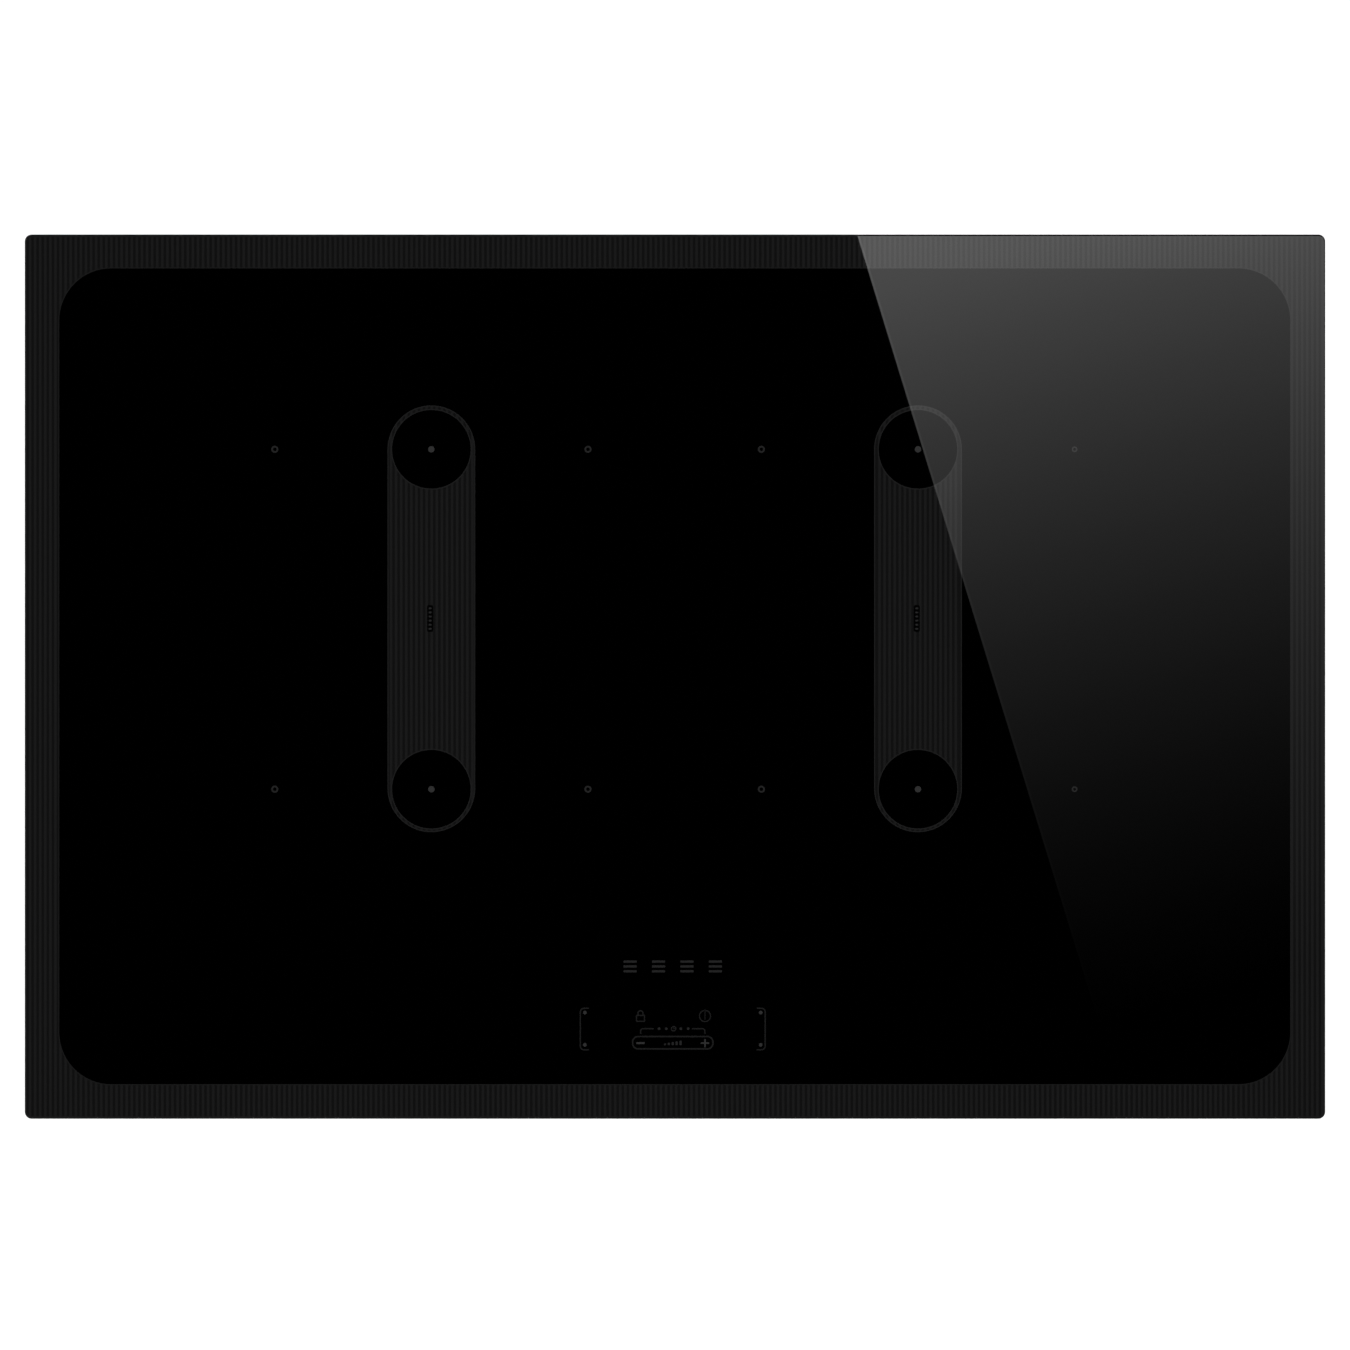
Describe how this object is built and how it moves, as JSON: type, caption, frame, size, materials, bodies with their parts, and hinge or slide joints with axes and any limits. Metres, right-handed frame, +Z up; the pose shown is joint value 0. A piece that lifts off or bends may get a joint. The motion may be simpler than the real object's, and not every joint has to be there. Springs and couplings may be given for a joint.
{
  "type": "electric induction cooktop",
  "caption": "Built-in frameless induction cooktop: flat black glass with fluted print bands over a steel casing with sprung coils, power boards, blowers and touch controls.",
  "frame": {"origin": "middle of the casing's bottom, which is also the bottom middle of the whole box", "axes": "+X along the glass's long side to the user's right, -Y towards the user, +Z up out of the cooking surface"},
  "size_m": [0.75, 0.51, 0.054],
  "materials": {
    "glass_black": "polished black glass ceramic, opaque",
    "print_grey": "dark grey ceramic print fired on the glass",
    "print_line": "mid grey ceramic print, control symbols",
    "silicone": "cured silicone bead",
    "foam": "closed-cell foam tape",
    "frame_steel": "zinc-plated sheet",
    "galvanised_steel": "galvanised sheet with spangle",
    "plate_aluminium": "mill finish",
    "bright_steel": "zinc-plated screws and rivets",
    "spring_steel": "spring steel",
    "clamp_steel": "pressed and plated",
    "sensor_silicone": "heat-proof silicone",
    "carrier_plastic": "glass-filled moulding",
    "litz_copper": "varnished stranded copper",
    "ferrite": "sintered ferrite",
    "mica": "pressed mica sheet",
    "circuit_board": "solder-masked laminate",
    "device_black": "moulded package",
    "capacitor_film": "film capacitor case",
    "choke_copper": "enamelled copper on a toroid",
    "filter_blue": "moulded component case",
    "blower_plastic": "moulded housing",
    "impeller_plastic": "moulded impeller",
    "motor_copper": "stator windings on a steel core",
    "terminal_plastic": "moulded thermoplastic",
    "holder_plastic": "moulded thermoplastic",
    "spring_gold": "gold-flashed contact springs",
    "lamp_clear": "clear light guides",
    "wire_insulation": "insulated wire",
    "label_white": "blank printed foil"
  },
  "bodies": {
    "casing": {"glass_top": "glass_black", "bond_bead": "silicone", "rim_gasket": "foam", "support_frame": "frame_steel", "base_tray": "galvanised_steel", "coil_plate": "plate_aluminium", "spring_posts": "bright_steel", "zone_sensors": "sensor_silicone", "standoffs": "galvanised_steel", "coil_springs_front_left": "spring_steel", "coil_springs_front_right": "spring_steel", "coil_springs_back_left": "spring_steel", "coil_springs_back_right": "spring_steel", "power_board_left": "circuit_board", "power_board_right": "circuit_board", "heat_sink_left": "plate_aluminium", "heat_sink_right": "plate_aluminium", "power_devices": "device_black", "capacitors": "capacitor_film", "chokes": "choke_copper", "blower_housing_left": "blower_plastic", "blower_housing_right": "blower_plastic", "fan_motor_left": "motor_copper", "fan_motor_right": "motor_copper", "filter_board": "circuit_board", "filter_parts": "filter_blue", "terminal_box": "terminal_plastic", "terminal_block": "terminal_plastic", "hinge_pin": "bright_steel", "cable_gland": "device_black", "touch_board": "circuit_board", "touch_holder": "holder_plastic", "touch_springs": "spring_gold", "indicator_lamps": "lamp_clear", "fasteners": "bright_steel", "side_clips": "spring_steel", "wiring": "wire_insulation"},
    "coil_front_left": {"coil_carrier_front_left": "carrier_plastic", "winding_front_left": "litz_copper", "ferrites_front_left": "ferrite", "mica_front_left": "mica"},
    "coil_front_right": {"coil_carrier_front_right": "carrier_plastic", "winding_front_right": "litz_copper", "ferrites_front_right": "ferrite", "mica_front_right": "mica"},
    "coil_back_left": {"coil_carrier_back_left": "carrier_plastic", "winding_back_left": "litz_copper", "ferrites_back_left": "ferrite", "mica_back_left": "mica"},
    "coil_back_right": {"coil_carrier_back_right": "carrier_plastic", "winding_back_right": "litz_copper", "ferrites_back_right": "ferrite", "mica_back_right": "mica"},
    "fan_left": {"impeller_left": "impeller_plastic"},
    "fan_right": {"impeller_right": "impeller_plastic"},
    "terminal_door": {"terminal_cover": "terminal_plastic"},
    "clamp_front_left": {"clamp_front_left": "clamp_steel"},
    "clamp_front_right": {"clamp_front_right": "clamp_steel"},
    "clamp_back_left": {"clamp_back_left": "clamp_steel"},
    "clamp_back_right": {"clamp_back_right": "clamp_steel"}
  },
  "joints": [
    {"name": "coil_float_front_left", "type": "slide", "parent": "casing", "child": "coil_front_left", "axis": [0, 0, 1], "range_m": [-0.003, 0], "stiffness_N_per_m": 3000, "springref_m": 0.004, "deforming": ["coil_springs_front_left"]},
    {"name": "coil_float_front_right", "type": "slide", "parent": "casing", "child": "coil_front_right", "axis": [0, 0, 1], "range_m": [-0.003, 0], "stiffness_N_per_m": 3000, "springref_m": 0.004, "deforming": ["coil_springs_front_right"]},
    {"name": "coil_float_back_left", "type": "slide", "parent": "casing", "child": "coil_back_left", "axis": [0, 0, 1], "range_m": [-0.003, 0], "stiffness_N_per_m": 3000, "springref_m": 0.004, "deforming": ["coil_springs_back_left"]},
    {"name": "coil_float_back_right", "type": "slide", "parent": "casing", "child": "coil_back_right", "axis": [0, 0, 1], "range_m": [-0.003, 0], "stiffness_N_per_m": 3000, "springref_m": 0.004, "deforming": ["coil_springs_back_right"]},
    {"name": "fan_spin_left", "type": "hinge", "parent": "casing", "child": "fan_left", "pos_m": [-0.205, -0.16, 0.012], "axis": [0, 0, 1], "continuous": true},
    {"name": "fan_spin_right", "type": "hinge", "parent": "casing", "child": "fan_right", "pos_m": [0.205, -0.16, 0.012], "axis": [0, 0, 1], "continuous": true},
    {"name": "terminal_cover_hinge", "type": "hinge", "parent": "casing", "child": "terminal_door", "pos_m": [0.165, 0.2422, 0.004], "axis": [-1, 0, 0], "range_deg": [0, 90]},
    {"name": "clamp_swivel_front_left", "type": "hinge", "parent": "casing", "child": "clamp_front_left", "pos_m": [-0.264, -0.226, 0.0175], "axis": [0, 0, -1], "range_deg": [0, 90]},
    {"name": "clamp_swivel_front_right", "type": "hinge", "parent": "casing", "child": "clamp_front_right", "pos_m": [0.264, -0.226, 0.0175], "axis": [0, 0, 1], "range_deg": [0, 90]},
    {"name": "clamp_swivel_back_left", "type": "hinge", "parent": "casing", "child": "clamp_back_left", "pos_m": [-0.264, 0.226, 0.0175], "axis": [0, 0, 1], "range_deg": [0, 90]},
    {"name": "clamp_swivel_back_right", "type": "hinge", "parent": "casing", "child": "clamp_back_right", "pos_m": [0.264, 0.226, 0.0175], "axis": [0, 0, -1], "range_deg": [0, 90]}
  ]
}
